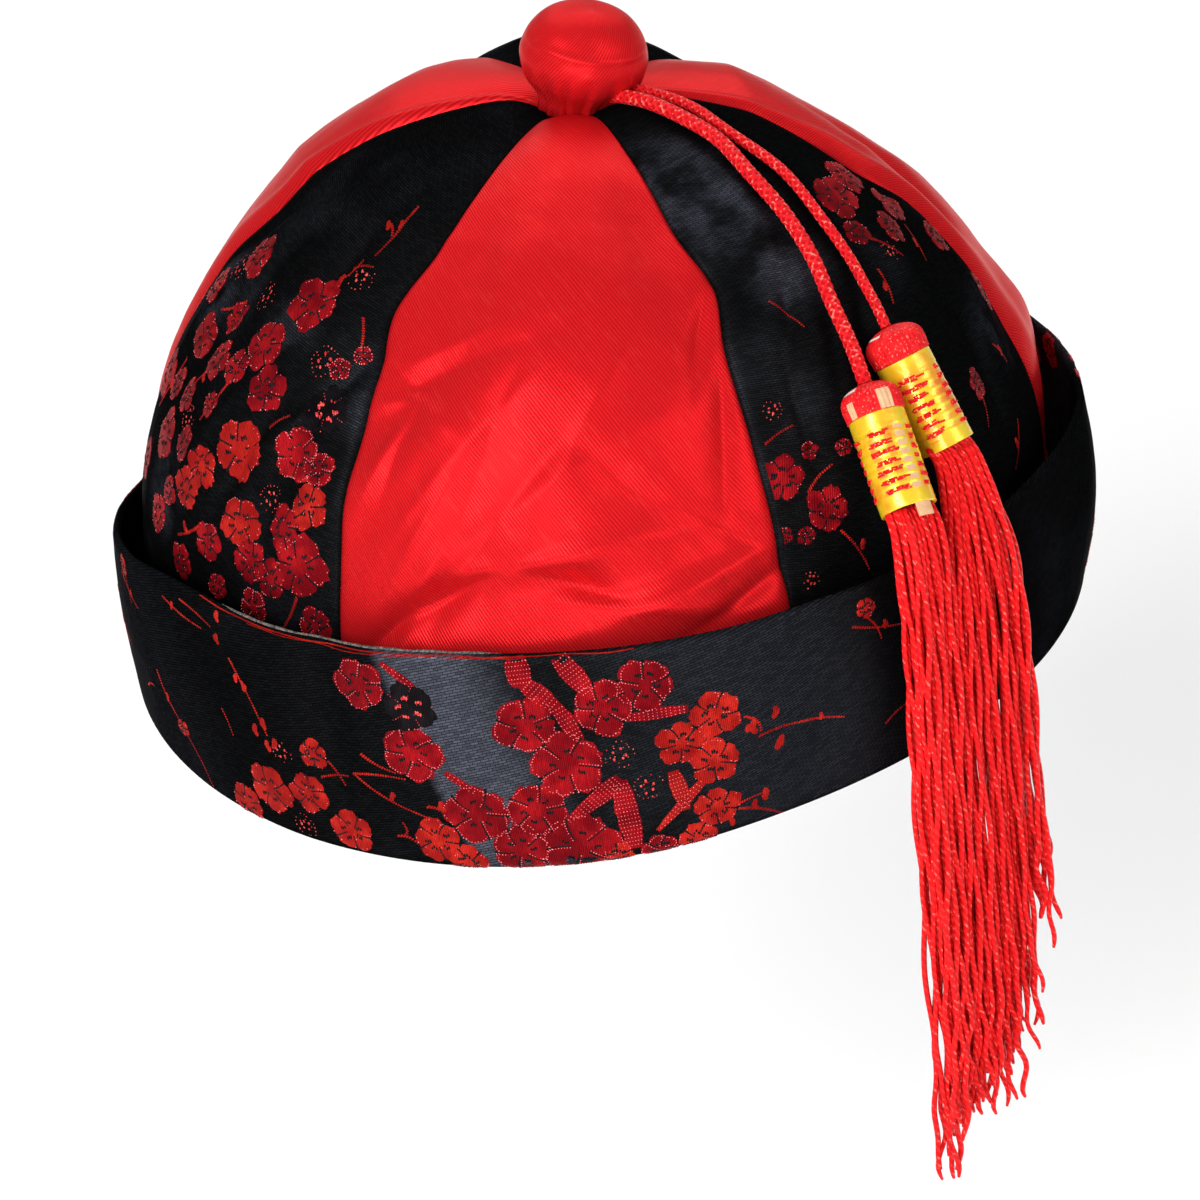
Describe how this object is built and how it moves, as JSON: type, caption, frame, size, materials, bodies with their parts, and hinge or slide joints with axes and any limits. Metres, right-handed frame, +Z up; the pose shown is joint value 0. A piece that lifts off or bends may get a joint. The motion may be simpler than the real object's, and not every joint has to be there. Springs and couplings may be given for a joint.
{
  "type": "mandarin hat",
  "caption": "Six-gore red and black brocade skull cap with a turned-up cuff, a covered button and two corded tassels.",
  "frame": {"origin": "middle of the head opening, level with the fold of the cuff", "axes": "+Z up through the crown, the hat's front faces -Y, and +X is to the right in the picture"},
  "size_m": [0.192, 0.192, 0.2122],
  "materials": {
    "red_satin": "satin",
    "black_brocade": "satin",
    "red_cord": "matte",
    "gold_foil": "polished",
    "red_thread": "satin"
  },
  "bodies": {
    "root": {"gore_red_front": "red_satin", "gore_red_left": "red_satin", "gore_red_right": "red_satin", "gore_brocade_left": "black_brocade", "gore_brocade_right": "black_brocade", "gore_brocade_back": "black_brocade", "cuff": "black_brocade", "button": "red_satin", "cord_near": "red_cord", "cord_far": "red_cord", "cap_near": "red_thread", "cap_far": "red_thread", "band_near": "gold_foil", "band_far": "gold_foil", "fringe_near": "red_thread", "fringe_far": "red_thread"}
  },
  "joints": []
}
